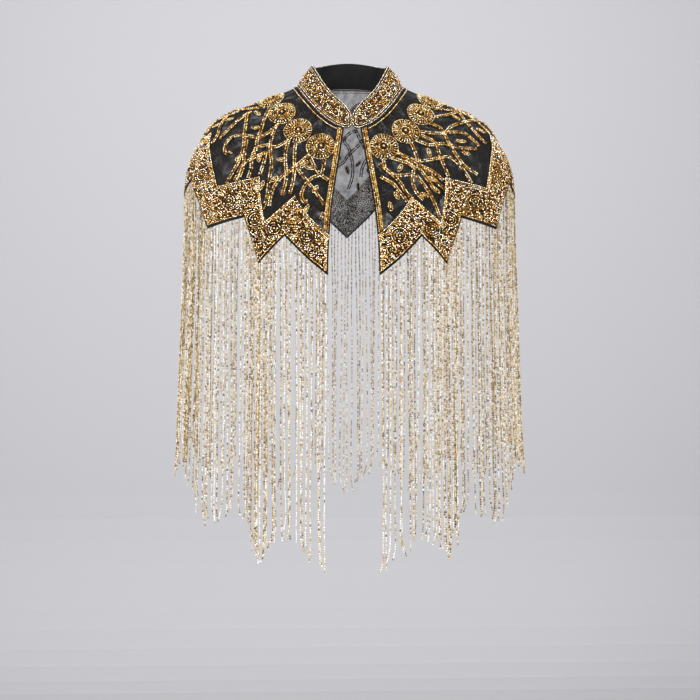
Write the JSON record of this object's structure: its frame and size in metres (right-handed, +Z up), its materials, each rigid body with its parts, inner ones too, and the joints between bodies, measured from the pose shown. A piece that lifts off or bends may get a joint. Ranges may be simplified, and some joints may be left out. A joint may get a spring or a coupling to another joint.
{
  "type": "beaded shoulder cape",
  "caption": "Short net shoulder cape with a beaded stand collar, a ring of beaded rounds, a zigzag sequinned border, braided open front edges and long bead fringe.",
  "frame": {"origin": "middle of the neck ring, at the height of the neck seam over the shoulders, where the wearer holds the cape up", "axes": "+Z up, the front of the cape looks along -Y, +X towards the wearer's left"},
  "size_m": [0.4612, 0.2631, 0.665],
  "materials": {
    "net": "sheer black tulle net",
    "sequins": "black cloth covered with small gold sequins and cut beads",
    "gold_beads": "silver-lined gold glass beads in rows",
    "fringe_beads": "hanging strings of pale champagne glass beads"
  },
  "bodies": {
    "root": {"yoke_front_left": "net", "yoke_front_right": "net", "yoke_back": "net", "border_front_left": "sequins", "border_front_right": "sequins", "border_back": "sequins", "front_braid_left": "gold_beads", "front_braid_right": "gold_beads", "beaded_round_left_1": "gold_beads", "beaded_round_left_2": "gold_beads", "beaded_round_left_3": "gold_beads", "beaded_round_left_4": "gold_beads", "beaded_round_left_5": "gold_beads", "beaded_round_left_6": "gold_beads", "beaded_round_left_7": "gold_beads", "beaded_round_left_8": "gold_beads", "beaded_round_right_1": "gold_beads", "beaded_round_right_2": "gold_beads", "beaded_round_right_3": "gold_beads", "beaded_round_right_4": "gold_beads", "beaded_round_right_5": "gold_beads", "beaded_round_right_6": "gold_beads", "beaded_round_right_7": "gold_beads", "beaded_round_right_8": "gold_beads", "collar": "sequins", "fringe_front_left": "fringe_beads", "fringe_front_right": "fringe_beads", "fringe_back": "fringe_beads"}
  },
  "joints": []
}
